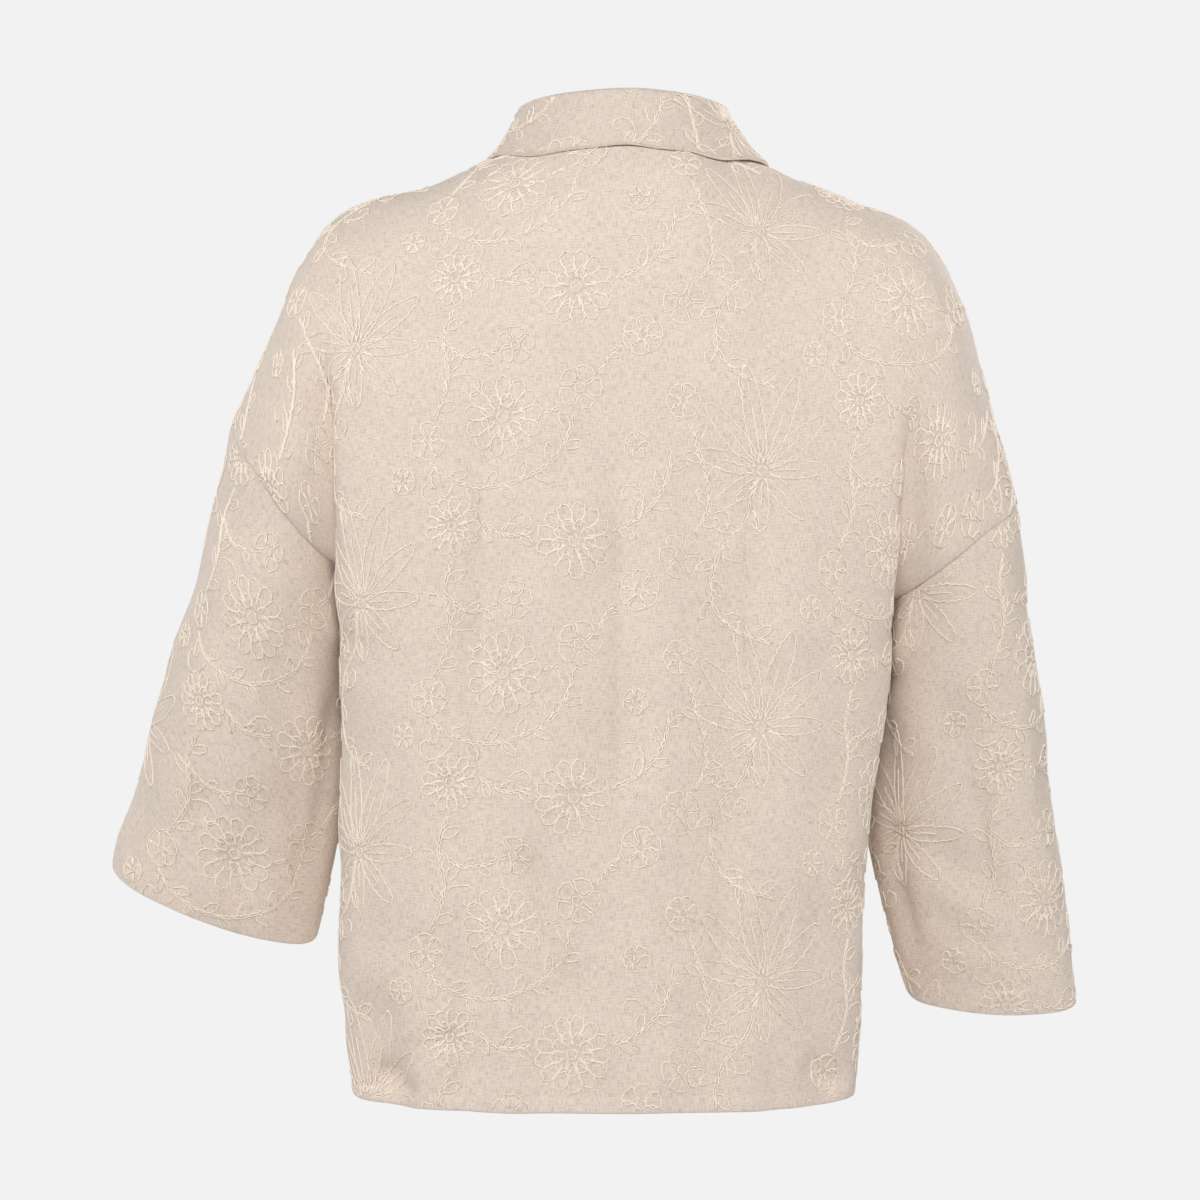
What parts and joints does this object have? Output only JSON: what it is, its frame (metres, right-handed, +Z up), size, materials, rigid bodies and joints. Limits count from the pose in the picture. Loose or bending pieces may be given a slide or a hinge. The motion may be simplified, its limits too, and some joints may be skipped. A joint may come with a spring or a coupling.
{
  "type": "shirt jacket",
  "caption": "Boxy linen shirt jacket in its worn form, with a turned-down collar, drop shoulders, wide three-quarter sleeves, a buttoned front and a straight hem.",
  "frame": {"origin": "the middle of the neck at the height of the two neck points of the shoulders, where the wearer's shoulders hold the jacket up", "axes": "+Z up, -Y the front with the buttons, +X the wearer's left"},
  "size_m": [0.698, 0.2939, 0.7096],
  "materials": {
    "embroidered_linen": "heathered natural linen with tone-on-tone cord embroidery",
    "shell_button": "cream shell-like button with a soft shine"
  },
  "bodies": {
    "root": {"back": "embroidered_linen", "front_left": "embroidered_linen", "front_right": "embroidered_linen", "sleeve_left": "embroidered_linen", "sleeve_right": "embroidered_linen", "collar_stand": "embroidered_linen", "collar_leaf": "embroidered_linen", "band_left": "embroidered_linen", "band_right": "embroidered_linen", "button_1": "shell_button", "button_2": "shell_button", "button_3": "shell_button", "button_4": "shell_button", "button_5": "shell_button", "button_6": "shell_button"}
  },
  "joints": []
}
